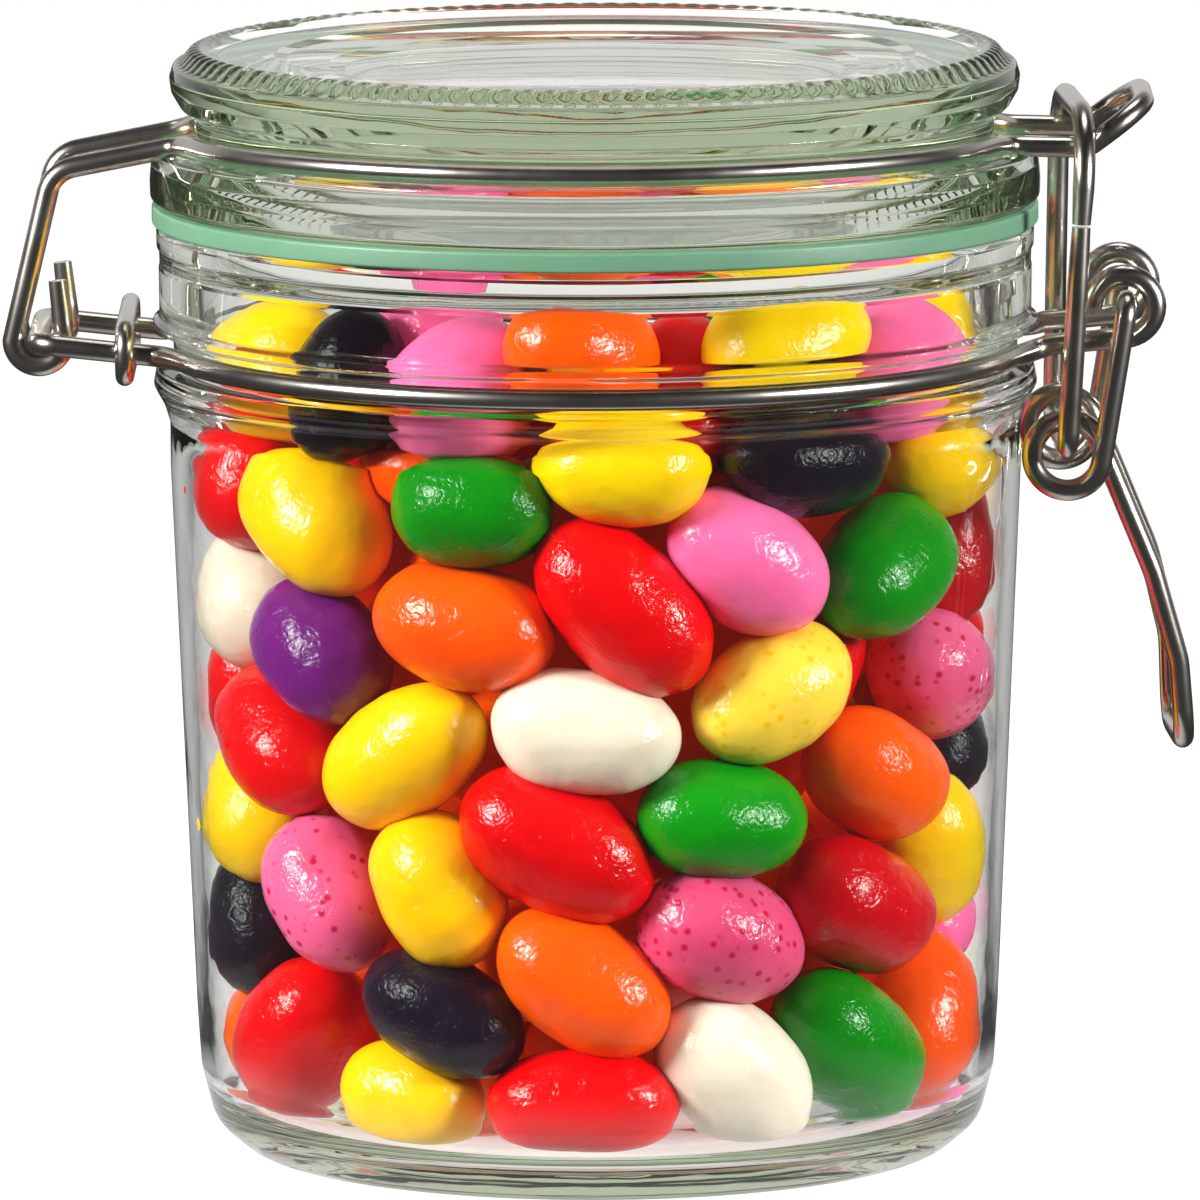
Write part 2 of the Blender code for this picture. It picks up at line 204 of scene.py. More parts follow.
brightness = add_node(sky, "ShaderNodeMath", {"operation": "MAXIMUM"},
                      {0: indirect.outputs["Value"], 1: straight.outputs["Value"]})
glow = add_node(sky, "ShaderNodeBackground", inputs={"Color": linear("#fdfdfd"),
                                                     "Strength": brightness.outputs["Value"]})
add_node(sky, "ShaderNodeOutputWorld", inputs={"Surface": glow.outputs["Background"]})

# name, degrees round from the front, degrees up, distance, width, watts
LAMPS = [
    ("left_softbox", -60.0, 24.0, 620.0, 210.0, 7.6),
    ("right_softbox", 62.0, 15.0, 640.0, 180.0, 5.6),
    ("ceiling_softbox", 150.0, 76.0, 800.0, 400.0, 1.2),
]
LAMP_AIM = Vector((0.0, 0.0, 60.0))
for lamp_name, azimuth, height_angle, distance, size, power in LAMPS:
    turn, lift = math.radians(azimuth), math.radians(height_angle)
    away = Vector((math.sin(turn) * math.cos(lift), -math.cos(turn) * math.cos(lift), math.sin(lift)))
    spot = LAMP_AIM + away * distance
    bpy.ops.object.light_add(type="AREA", location=spot * MM)
    lamp = bpy.context.object
    lamp.name = lamp_name
    lamp.rotation_mode = "QUATERNION"
    lamp.rotation_quaternion = (-away).to_track_quat("-Z", "Y")
    lamp.data.shape = "DISK"
    lamp.data.size = size * MM
    lamp.data.energy = power

# ---------------------------------------------------------------------------
# The jar: pressed soda-lime glass, faintly olive where it is thick.  Its profile
# is spun round the axis, inside floor first, over the rim and down to the foot.
# ---------------------------------------------------------------------------
ROUND_SIDES = 192
LEAST_TURN = 0.02
MERGE_GAP = 0.004 * MM


def rounded(before, corner, after, rounding, step):
    """Points on the arc that rounds one corner of an outline or of a wire's route."""
    if not rounding:
        return [corner]
    back = (before - corner).normalized()
    ahead = (after - corner).normalized()
    half = back.angle(ahead) / 2.0
    turn = math.pi - 2.0 * half
    if turn < LEAST_TURN:
        return [corner]
    centre = corner + (back + ahead).normalized() * rounding / math.sin(half)
    start = corner + back * rounding / math.tan(half) - centre
    end = corner + ahead * rounding / math.tan(half) - centre
    count = max(2, math.ceil(math.degrees(turn) / step))
    points = []
    for k in range(count + 1):
        share = k / count
        points.append(centre + (start * math.sin((1.0 - share) * turn)
                                + end * math.sin(share * turn)) / math.sin(turn))
    return points


def fillet(corners, step=11.0):
    """Points along a (radius, height) outline whose corners are rounded by their third value."""
    points = [Vector(corner[:2]) for corner in corners]
    outline = [points[0]]
    for i in range(1, len(points) - 1):
        outline += rounded(points[i - 1], points[i], points[i + 1], corners[i][2], step)
    outline.append(points[-1])
    return outline


def spun(name, outline, sides):
    """Draws an outline point by point in edit mode, and turns it round the jar's axis."""
    bpy.ops.object.select_all(action="DESELECT")
    bpy.ops.mesh.primitive_circle_add(vertices=3, radius=MM)
    piece = bpy.context.object
    piece.name = name
    bpy.ops.object.mode_set(mode="EDIT")
    bpy.ops.mesh.select_all(action="SELECT")
    bpy.ops.mesh.merge(type="CENTER")
    bpy.ops.transform.translate(value=(outline[0].x * MM, 0.0, outline[0].y * MM))
    for here, there in zip(outline, outline[1:]):
        step = ((there.x - here.x) * MM, 0.0, (there.y - here.y) * MM)
        bpy.ops.mesh.extrude_region_move(TRANSFORM_OT_translate={"value": step})
    bpy.ops.object.mode_set(mode="OBJECT")
    turning = piece.modifiers.new("turned", "SCREW")
    turning.axis = "Z"
    turning.angle = math.tau
    turning.steps = sides
    turning.render_steps = sides
    turning.use_merge_vertices = True
    turning.merge_threshold = MERGE_GAP
    bpy.ops.object.modifier_apply(modifier=turning.name)
    bpy.ops.object.mode_set(mode="EDIT")
    bpy.ops.mesh.select_all(action="SELECT")
    bpy.ops.mesh.remove_doubles(threshold=MERGE_GAP)
    bpy.ops.mesh.normals_make_consistent(inside=False)
    bpy.ops.object.mode_set(mode="OBJECT")
    bpy.ops.object.shade_smooth()
    return piece


jar_outline = fillet([
    (0.0, 4.3, 0), (31.0, 4.0, 30), (41.0, 4.0, 4.5), (41.7, 17.0, 30), (43.2, 62.0, 60),
    (43.3, 77.0, 12), (44.5, 82.6, 2.0), (41.7, 87.6, 3.0), (41.6, 95.4, 1.5), (40.6, 97.2, 1.0),
    (40.5, 99.0, 0.8), (41.2, 99.9, 0.7),
    (46.6, 99.9, 0.5), (46.9, 99.2, 0.4), (46.85, 97.5, 0.2), (46.6, 97.1, 0.25), (46.55, 95.6, 0.2),
    (46.65, 95.2, 0.2), (46.6, 90.1, 0.5), (47.3, 89.6, 0.3), (47.3, 88.9, 0.3), (45.2, 88.3, 0.6),
    (45.0, 85.0, 0.6), (46.9, 84.6, 0.5), (47.25, 82.7, 0.8), (46.1, 80.6, 2.0), (45.5, 78.6, 2.0),
    (45.5, 74.0, 20), (43.0, 15.0, 30), (42.6, 9.0, 4), (41.2, 3.4, 4.5), (37.5, 0.25, 4.0),
    (34.5, 0.0, 1.0), (28.0, 0.0, 0.6), (26.5, 0.8, 1.0), (0.0, 1.3, 0),
])
jar = spun("jar_pressed_glass", jar_outline, ROUND_SIDES)

# Soda-lime glass, pressed: near colourless through a wall, olive through a rim, a little wavy.
# Light from a lamp and light scattered by the beans go straight through it, dimmed a little.
glass = bpy.data.materials.new("pressed_soda_lime_glass")
glass.use_nodes = True
tree = glass.node_tree
tree.nodes.clear()
place = add_node(tree, "ShaderNodeTexCoord")
waves = add_node(tree, "ShaderNodeTexNoise", inputs={"Vector": place.outputs["Object"],
                                                     "Scale": 1.0 / 0.011, "Detail": 2.0})
wavy = add_node(tree, "ShaderNodeBump", inputs={"Height": waves.outputs["Fac"], "Strength": 1.0,
                                                "Distance": 0.00006})
pane = add_node(tree, "ShaderNodeBsdfPrincipled",
                inputs={"Base Color": linear("#ffffff"), "Roughness": 0.0, "IOR": 1.5,
                        "Specular IOR Level": 0.12, "Transmission Weight": 1.0,
                        "Normal": wavy.outputs["Normal"]})
through = add_node(tree, "ShaderNodeBsdfTransparent", inputs={"Color": linear("#f6faf6")})
ray_kind = add_node(tree, "ShaderNodeLightPath")
soft_light = add_node(tree, "ShaderNodeMixShader", inputs={0: ray_kind.outputs["Is Diffuse Ray"],
                                                           1: pane.outputs["BSDF"],
                                                           2: through.outputs["BSDF"]})
lets_lamps = add_node(tree, "ShaderNodeMixShader", inputs={0: ray_kind.outputs["Is Shadow Ray"],
                                                           1: soft_light.outputs["Shader"],
                                                           2: through.outputs["BSDF"]})
tint = add_node(tree, "ShaderNodeVolumeAbsorption", inputs={"Color": linear("#b4cb8e"),
                                                            "Density": 13.0})
add_node(tree, "ShaderNodeOutputMaterial", inputs={"Surface": lets_lamps.outputs["Shader"],
                                                   "Volume": tint.outputs["Volume"]})
jar.data.materials.append(glass)
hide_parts("jar_glass")
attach(jar, "root")

# ---------------------------------------------------------------------------
# The lid: the same glass, a thick disc with a sunk top, a groove for its wire,
# a flange and a plug.  Its upper edge is knurled with small slanting scallops.
# ---------------------------------------------------------------------------
KNURLS = 117
LID_SIDES = KNURLS * 8
KNURL_START, KNURL_WIDTH, KNURL_DEPTH = 42.0, 2.7, 0.42
KNURL_SLANT = 1.4
lid_outline = fillet([
    (0.0, 116.3, 0), (26.6, 116.3, 0.8), (28.4, 116.8, 1.0), (32.8, 117.4, 0.8), (34.2, 117.8, 0.6),
    (40.0, 117.8, 0.8), (41.2, 118.4, 0.8), (42.3, 118.8, 0.7), (43.2, 118.5, 0.5), (43.7, 117.9, 0.3),
    (44.2, 117.3, 0.4), (45.0, 116.9, 0.7), (45.4, 115.6, 0.9), (45.2, 114.1, 0.6), (44.2, 112.4, 1.2),
    (42.8, 111.4, 1.0), (42.5, 108.4, 0.9), (45.9, 108.3, 0.6), (46.9, 107.9, 0.8), (47.4, 106.4, 1.5),
    (47.55, 104.6, 1.5), (47.5, 102.9, 0.6), (46.8, 102.2, 0.5), (40.3, 102.2, 0.3), (39.8, 101.0, 0.6),
    (39.5, 98.7, 0.7), (38.2, 98.0, 0.6), (36.9, 98.5, 0.8), (33.5, 104.6, 5.0), (26.0, 107.6, 8.0),
    (0.0, 108.6, 0),
])
lid = spun("lid_pressed_glass", lid_outline, LID_SIDES)
for point in lid.data.vertices:
    reach = math.hypot(point.co.x, point.co.y) / MM
    if point.co.z > 116.8 * MM and KNURL_START < reach < KNURL_START + KNURL_WIDTH:
        depth = math.sin(math.pi * (reach - KNURL_START) / KNURL_WIDTH)
        slant = (reach - KNURL_START) / KNURL_WIDTH * KNURL_SLANT
        notch = abs(math.sin(0.5 * KNURLS * math.atan2(point.co.y, point.co.x) + slant))
        point.co.z -= KNURL_DEPTH * MM * depth * (1.0 - notch) ** 1.3
lid.data.materials.append(glass)
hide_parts("lid_glass")
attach(lid, "root")

# ---------------------------------------------------------------------------
# The sealing ring: moulded mint rubber, flat, with its tongue left off, pinched
# between the lid's flange and the jar's rim.
# ---------------------------------------------------------------------------
seal_outline = fillet([
    (40.5, 101.0, 0), (40.5, 102.1, 0.3), (47.35, 102.1, 0.35), (47.35, 99.95, 0.35),
    (40.5, 99.95, 0.3), (40.5, 101.0, 0),
])
seal = spun("sealing_ring", seal_outline, ROUND_SIDES)
mint = bpy.data.materials.new("moulded_mint_rubber")
mint.use_nodes = True
tree = mint.node_tree
rubber = tree.nodes["Principled BSDF"]
place = add_node(tree, "ShaderNodeTexCoord")
bloom = add_node(tree, "ShaderNodeTexNoise", inputs={"Vector": place.outputs["Object"],
                                                     "Scale": 1.0 / 0.0045, "Detail": 3.0})
shades = add_node(tree, "ShaderNodeMix", {"data_type": "RGBA"},
                  {"Factor": bloom.outputs["Fac"], "A": linear("#5c866a"), "B": linear("#689476")})
grain = add_node(tree, "ShaderNodeTexNoise", inputs={"Vector": place.outputs["Object"],
                                                     "Scale": 1.0 / 0.0005, "Detail": 2.0})
matt = add_node(tree, "ShaderNodeBump", inputs={"Height": grain.outputs["Fac"], "Strength": 0.3,
                                                "Distance": 0.00003})
tree.links.new(shades.outputs["Result"], rubber.inputs["Base Color"])
tree.links.new(matt.outputs["Normal"], rubber.inputs["Normal"])
rubber.inputs["Roughness"].default_value = 0.45
rubber.inputs["Subsurface Weight"].default_value = 0.25
rubber.inputs["Subsurface Radius"].default_value = (0.6, 1.0, 0.7)
rubber.inputs["Subsurface Scale"].default_value = 0.0015
seal.data.materials.append(mint)
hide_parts("seal_ring")
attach(seal, "root")

# ---------------------------------------------------------------------------
# The neck wire: drawn stainless steel, bent round the neck's groove.  Its hinge
# bar is at the left, and its two ends are rolled into eyes at the right.
# ---------------------------------------------------------------------------
# Stainless steel wire, drawn: warm grey, bright, its polish uneven from handling.
steel = bpy.data.materials.new("drawn_stainless_wire")
steel.use_nodes = True
tree = steel.node_tree
metal = tree.nodes["Principled BSDF"]
place = add_node(tree, "ShaderNodeTexCoord")
smear = add_node(tree, "ShaderNodeTexNoise", inputs={"Vector": place.outputs["Object"],
                                                     "Scale": 1.0 / 0.006, "Detail": 3.0})
tarnish = add_node(tree, "ShaderNodeMix", {"data_type": "RGBA"},
                   {"Factor": smear.outputs["Fac"], "A": linear("#b9b1a6"), "B": linear("#d6d2cc")})
polish = add_node(tree, "ShaderNodeMapRange", inputs={"Value": smear.outputs["Fac"], "To Min": 0.18,
                                                      "To Max": 0.3})
tree.links.new(tarnish.outputs["Result"], metal.inputs["Base Color"])
tree.links.new(polish.outputs["Result"], metal.inputs["Roughness"])
metal.inputs["Metallic"].default_value = 1.0


def arc(centre, radius, start, end, count):
    """Points on an arc, angles in degrees from the first axis."""
    angles = [math.radians(start + (end - start) * i / count) for i in range(count + 1)]
    return [(centre[0] + radius * math.cos(a), centre[1] + radius * math.sin(a)) for a in angles]


def bend(points, radii, step=9.0):
    """Rounds the corners of a wire's route by the radii they are bent to."""
    points = [Vector(point) for point in points]
    route = [points[0]]
    for i in range(1, len(points) - 1):
        route += rounded(points[i - 1], points[i], points[i + 1], radii[i], step)
    route.append(points[-1])
    return route


def mirrored(half):
    """A route and its mirror image in the XZ plane, joined end to end."""
    return half + [Vector((p[0], -p[1], p[2])) for p in reversed(half)]


def front_half_ring(radius, height, y_left, y_right, lift, count=48):
    """A ring's front half from left to right; its two ends stand off by lift."""
    start = math.pi + math.asin(y_left / radius)
    end = math.tau - math.asin(y_right / radius)
    points = []
    for i in range(count):
        angle = start + (end - start) * i / (count - 1)
        x = radius * math.cos(angle)
        points.append((x, radius * math.sin(angle), height + lift * (x / radius) ** 4))
    return points


def bent_wire(name, route, thickness, node, cyclic=False):
    """A round wire drawn along its route and made a mesh, a little thinner at its cut ends."""
    curve = bpy.data.curves.new(name, "CURVE")
    curve.dimensions = "3D"
    curve.bevel_depth = thickness / 2.0 * MM
    curve.bevel_resolution = 6
    curve.use_fill_caps = not cyclic
    spline = curve.splines.new("POLY")
    spline.points.add(len(route) - 1)
    for point, place_on_route in zip(spline.points, route):
        point.co = (*(Vector(place_on_route) * MM), 1.0)
    if not cyclic:
        spline.points[0].radius = 0.86
        spline.points[-1].radius = 0.86
    spline.use_cyclic_u = cyclic
    wire = bpy.data.objects.new(name, curve)
    bpy.context.scene.collection.objects.link(wire)
    bpy.ops.object.select_all(action="DESELECT")
    wire.select_set(True)
    bpy.context.view_layer.objects.active = wire
    bpy.ops.object.convert(target="MESH")
    wire = bpy.context.object
    bpy.ops.object.mode_set(mode="EDIT")
    bpy.ops.mesh.select_all(action="SELECT")
    bpy.ops.mesh.remove_doubles(threshold=MERGE_GAP)
    bpy.ops.object.mode_set(mode="OBJECT")
    bpy.ops.object.shade_smooth_by_angle(angle=math.radians(50.0))
    wire.data.materials.append(steel)
    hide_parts(node)
    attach(wire, "root")
    return wire


NECK_WIRE_HEIGHT = 86.6
HINGE_BAR = (-59.3, 88.2)
EYE = (56.2, 91.7)
EYE_LOOP = 3.35
hinge_side = [(HINGE_BAR[0], 0.0, HINGE_BAR[1]), (HINGE_BAR[0], -11.2, HINGE_BAR[1]),
              (-51.0, -11.2, 87.3), (-46.2, -11.2, 86.8)]
neck_ring = front_half_ring(46.6, NECK_WIRE_HEIGHT, 15.5, 14.5, 0.3)
latch_side = [(46.8, -10.0, 87.1), (50.4, -10.0, EYE[1] - EYE_LOOP)]
rolled_eye = [(x, -10.0, z) for x, z in arc(EYE, EYE_LOOP, -90.0, 180.0, 27)]
neck_points = hinge_side + neck_ring + latch_side
neck_bends = [0.0, 2.0, 0.0, 2.6] + [0.0] * len(neck_ring) + [2.6, 0.0]
neck_half = bend(neck_points, neck_bends)[:-1] + [Vector(p) for p in rolled_eye]
bent_wire("neck_wire_drawn", [Vector((p.x, -p.y, p.z)) for p in reversed(neck_half)][:-1] + neck_half,
          2.3, "neck_wire")

# ---------------------------------------------------------------------------
# The lid wire: the same steel, in the lid's groove.  Two legs at the left hook
# round the hinge bar, and a tongue stands out at the right for the latch.
# ---------------------------------------------------------------------------
LID_WIRE_HEIGHT = 109.8
hook = [(x, -8.2, z) for x, z in arc((HINGE_BAR[0] + 0.05, HINGE_BAR[1]), 2.75, 0.0, -180.0, 22)]
hook_legs = [(-57.2, -8.2, 94.6)] + hook + [(-57.7, -8.2, 106.3), (-44.3, -8.2, 108.9)]
lid_ring = front_half_ring(44.3, LID_WIRE_HEIGHT, 12.8, 14.2, -0.7)
tongue = [(43.8, -10.0, 108.9), (52.3, -10.0, 108.7), (58.4, -10.0, 113.2), (58.4, 0.0, 113.2)]
lid_wire_points = hook_legs + lid_ring + tongue
lid_wire_bends = [0.0] * (len(hook) + 1) + [3.6, 2.4] + [0.0] * len(lid_ring) + [2.4, 2.6, 5.0, 0.0]
bent_wire("lid_wire_drawn", mirrored(bend(lid_wire_points, lid_wire_bends)[:-1]), 2.25, "lid_wire")

# ---------------------------------------------------------------------------
# The latch lever: one wire.  Pins at its ends turn in the neck wire's eyes, a
# coil at each side holds the loop, and the handle hangs down beside the jar.
# ---------------------------------------------------------------------------
PIVOT = (56.5, 92.3)
COIL = (50.1, 76.0)
COIL_LOOP = 3.7
COIL_OUT, COIL_IN = 12.9, 10.3
coil = []
for i in range(49):
    share = i / 48
    angle = math.radians(-9.0 - 329.0 * share)
    coil.append((COIL[0] + COIL_LOOP * math.cos(angle), -COIL_OUT + (COIL_OUT - COIL_IN) * share,
                 COIL[1] + COIL_LOOP * math.sin(angle)))
lever_points = [(PIVOT[0], -8.3, PIVOT[1]), (PIVOT[0], -COIL_OUT, PIVOT[1])] + coil
lever_points += [(59.4, -10.0, 63.2), (61.9, -9.2, 53.6), (62.4, -8.4, 44.6), (62.4, 0.0, 44.6)]
lever_bends = [0.0, 1.8] + [0.0] * len(coil) + [14.0, 9.0, 4.0, 0.0]
lever_route = mirrored(bend(lever_points, lever_bends)[:-1])
for point in lever_route:
    point.x -= 0.0035 * max(0.0, 60.0 - point.z) * point.y
bent_wire("latch_lever_drawn", lever_route, 2.3, "latch_lever")

# ---------------------------------------------------------------------------
# The latch loop: a closed loop of wire through both coils and over the tongue,
# a little skewed.  Its cut ends meet in the near leg.
# ---------------------------------------------------------------------------
LOOP_LOW, LOOP_HIGH, LOOP_HALF = 76.8, 112.4, 15.6
JOINT_HEIGHT = 101.0
loop_corners = []
for y, z in ((-1, JOINT_HEIGHT + 0.15), (-1, LOOP_HIGH), (1, LOOP_HIGH), (1, 94.6), (1, LOOP_LOW),
             (-1, LOOP_LOW), (-1, 94.6), (-1, JOINT_HEIGHT - 0.15)):
    share = (z - LOOP_LOW) / (LOOP_HIGH - LOOP_LOW)
    across = y * LOOP_HALF
    loop_corners.append((49.75 + 1.35 * share - across * (0.022 + 0.045 * share), across, z))
bent_wire("latch_loop_drawn", bend(loop_corners, [0.0, 7.5, 7.5, 0.0, 2.2, 2.2, 0.0, 0.0]), 2.3,
          "latch_loop")

# ---------------------------------------------------------------------------
# The hinge clip: a small oblong link of thinner wire round the neck wire's legs.
# ---------------------------------------------------------------------------
clip_route = []
for y, z, start in ((1, 1, 0.0), (-1, 1, 90.0), (-1, -1, 180.0), (1, -1, 270.0)):
    corner = (y * 11.55, 87.25 + z * 0.35)
    clip_route += [(-50.0, a, b) for a, b in arc(corner, 2.2, start, start + 90.0, 9)]
bent_wire("hinge_clip_drawn", clip_route, 2.0, "hinge_clip", cyclic=True)

# ---------------------------------------------------------------------------
# The jelly beans: starch-moulded gel in a glossy sugar shell, each an uneven egg
# about 19 mm by 13 mm.  The ones in front are placed as listed, the rest settle.
# ---------------------------------------------------------------------------
# height, then radius of the jar's inside
INNER_WALL = [(5.5, 38.8), (8.5, 41.2), (13.0, 41.4), (20.0, 41.9), (62.0, 43.2), (76.0, 43.35),
              (80.0, 43.2), (85.5, 41.8), (98.0, 41.4)]
# kind, degrees round from the front, height, tilt on the wall, turn into the heap, half length, half width
HAND_PLACED = [
    ("yellow", -50.4, 72.0, -42, 0, 9.6, 6.8),
    ("green", -20, 74.4, 0, 0, 8.6, 6.5),
    ("yellow", 3, 81.2, -3, 0, 9.3, 6.5),
    ("black", 33, 77.8, -2, 0, 10.0, 6.3),
    ("yellow", 72, 76.0, -10, 0, 8.6, 6.6),
    ("pink", 23.2, 69.5, -37, 0, 9.6, 6.6),
    ("green", 56.3, 66.4, 27, 0, 9.7, 6.6),
    ("red", 5, 66.2, -48, 0, 11.2, 7.0),
    ("orange", -20.7, 61.8, -11, 0, 10.0, 6.6),
    ("purple", -50.8, 58.4, -37, 0, 9.0, 6.4),
    ("white", -82, 60.8, -50, 0, 8.6, 6.7),
    ("pink_speckled", 79.5, 53.4, -29, 0, 8.8, 6.6),
    ("yellow_speckled", 30.5, 53.8, 31, 0, 9.5, 6.6),
    ("white", -2, 51.1, -8, 0, 10.0, 6.6),
    ("red", -66.5, 46.9, -35, 0, 9.8, 6.6),
    ("yellow", -33.3, 45.8, 33, 0, 10.2, 6.6),
    ("orange", 54, 43.5, -26, 0, 9.5, 6.6),
    ("green", 21, 41.9, -5, 0, 9.3, 6.3),
    ("red", -7, 38.2, -28, 0, 11.1, 6.9),
    ("pink_speckled", -52, 31.4, -53, 0, 9.1, 6.4),
    ("yellow", -26.5, 30.5, -62, 0, 8.8, 6.6),
    ("dark_red", 50, 29.6, -24, 0, 10.5, 6.8),
    ("pink_speckled", 21, 28.0, -24, 0, 9.5, 6.8),
    ("orange", -3, 23.5, -35, 0, 10.2, 6.6),
    ("black", -26.3, 17.8, -27, 0, 9.4, 6.1),
    ("green", 51.5, 14.6, -33, 0, 10.7, 6.9),
    ("white", 22, 13.4, -43, 0, 9.6, 6.6),
    ("red", -63.5, 14.6, 54, 0, 9.6, 7.0),
    ("red", -3, 10.1, 0, 0, 10.2, 6.1),
    ("yellow", -31, 9.9, -10, 0, 8.2, 5.8),
    ("red", -98, 77.7, 20, 0, 9.2, 6.5),
    ("red", -84, 71.4, -60, 0, 8.6, 6.3),
    ("dark_red", 89, 63.5, 75, 0, 9.4, 6.4),
    ("red", -90, 48.8, 60, 0, 8.8, 6.3),
    ("yellow", -86, 36.9, -60, 0, 9.2, 6.5),
    ("black", -85, 24.7, -70, 0, 8.8, 6.4),
    ("orange", -91, 15.2, 30, 0, 9.0, 6.3),
    ("black", 92, 41.7, 20, 0, 8.8, 6.2),
    ("yellow", 84, 33.4, -60, 0, 9.6, 6.8),
    ("pink", 94, 24.3, 10, 0, 8.8, 6.2),
    ("orange", 81, 17.0, 60, 0, 9.6, 6.7),
    ("pink", 97, 10.4, 10, 0, 8.8, 6.2),
    ("yellow", -62, 87.6, 10, 0, 9.4, 6.5),
    ("black", -45.5, 85.6, 76, 25, 8.4, 5.4),
    ("pink", -22, 86.7, 40, 52, 8.6, 6.9),
    ("orange", 0, 83.6, -14, 35, 8.8, 6.4),
    ("yellow", 27.5, 87.2, 14, 0, 9.2, 6.5),
    ("pink", 59, 87.8, 24, 10, 8.8, 6.5),
    ("yellow", 88, 88.0, 70, 0, 9.0, 6.4),
]
# the same, and then how far behind the glass
SECOND_ROW = [
    ("orange", -33, 77.6, -12, 20, 9.3, 6.4, 3.5),
    ("pink", -33, 87.6, 60, 20, 8.6, 6.4, 3.5),
    ("orange", 0, 87.6, 5, 0, 9.0, 6.4, 10.5),
    ("red", 13, 86.2, 70, 30, 8.8, 6.3, 3.5),
    ("orange", 45, 88.0, 10, 0, 9.2, 6.5, 7.0),
    ("red", 47, 56.0, 50, 0, 9.0, 6.4, 6.5),
]
# kind, then its light and its deep tone
KINDS = {
    "red": ("#e80008", "#c80004"),
    "dark_red": ("#cc0412", "#a8000c"),
    "yellow": ("#ffd000", "#ffb200"),
    "yellow_speckled": ("#ffe060", "#fcba00"),
    "orange": ("#ff6200", "#ff4400"),
    "green": ("#08920f", "#036a06"),
    "pink": ("#ff74ae", "#f85a98"),
    "pink_speckled": ("#ff70a6", "#b80038"),
    "white": ("#eedccc", "#e6d2c0"),
    "black": ("#1e1424", "#08040c"),
    "purple": ("#7e2080", "#4a0c54"),
    # The buried beans: orange-red, with a faint painted glow in their material.
    "buried": ("#ff6a00", "#c01000"),
}
COMMON = ["red", "yellow", "orange", "green", "pink", "white", "red", "yellow", "orange", "black",
          "dark_red", "pink_speckled", "yellow_speckled", "purple"]
HALF_LENGTHS, HALF_WIDTHS = (8.4, 10.2), (6.2, 6.9)
ROWS, FIRST_ROW = 7, 11.5
HEAP_FLOOR, HEAP_FRONT_TOP, HEAP_SLOPE = 4.2, 94.6, 0.19
dice = random.Random(11)


def wall_radius(height):
    """The radius of the jar's inside at a height, or at many heights."""
    return np.interp(height, [h for h, _ in INNER_WALL], [r for _, r in INNER_WALL])


def on_the_wall(azimuth, height, tilt, turn, half_length, half_width, depth=0.0):
    """Centre and long axis of a bean that touches the glass, or lies deeper in the heap."""
    angle, tilt, turn = math.radians(azimuth), math.radians(tilt), math.radians(turn)
    out = Vector((math.sin(angle), -math.cos(angle), 0.0))
    along = Vector((math.cos(angle), math.sin(angle), 0.0))
    lean = along * math.cos(tilt) + Vector((0, 0, 1)) * math.sin(tilt)
    axis = lean * math.cos(turn) - out * math.sin(turn)
    reach = math.sqrt(half_width ** 2 + (half_length ** 2 - half_width ** 2) * axis.dot(out) ** 2)
    return out * float(wall_radius(height) - reach - depth) + Vector((0, 0, height)), axis


beans = []
for kind, azimuth, height, tilt, turn, half_length, half_width, *depth in HAND_PLACED + SECOND_ROW:
    centre, axis = on_the_wall(azimuth, height, tilt, turn, half_length, half_width, *depth)
    beans.append([kind, centre, axis, half_length, half_width, True])
# Behind them: rows against the back wall, and rows one bean deeper all round.
for row in range(ROWS):
    for k in range(7):
        half_length, half_width = dice.uniform(*HALF_LENGTHS), dice.uniform(*HALF_WIDTHS)
        azimuth = 112.0 + 23.0 * (k + 0.5 * (row % 2)) + dice.uniform(-3, 3)
        centre, axis = on_the_wall(azimuth, FIRST_ROW + 11.3 * row, dice.uniform(-70, 70),
                                   dice.uniform(-15, 15), half_length, half_width)
        beans.append([dice.choice(COMMON), centre, axis, half_length, half_width, False])
    for k in range(8):
        half_length, half_width = dice.uniform(*HALF_LENGTHS), dice.uniform(*HALF_WIDTHS)
        azimuth = 45.0 * (k + 0.5 * (row % 2))
        centre, axis = on_the_wall(azimuth, FIRST_ROW + 11.8 * row, dice.uniform(-80, 80),
                                   dice.uniform(-60, 60), half_length, half_width, depth=14.0)
        # Below the top row the deeper beans are buried ones, which get a painted glow.
        kind = dice.choice(COMMON) if row == ROWS - 1 else "buried"
        beans.append([kind, centre, axis, half_length, half_width, False])
# Five more fill the middle of the heap's top.
for k in range(5):
    turn = math.radians(72.0 * k)
    axis = Vector((-math.sin(turn), math.cos(turn), 0.15)).normalized()
    centre = Vector((11.0 * math.cos(turn), 11.0 * math.sin(turn), 85.0))
    beans.append([("green", "yellow", "red", "orange", "pink")[k], centre, axis, 9.2, 6.4, False])
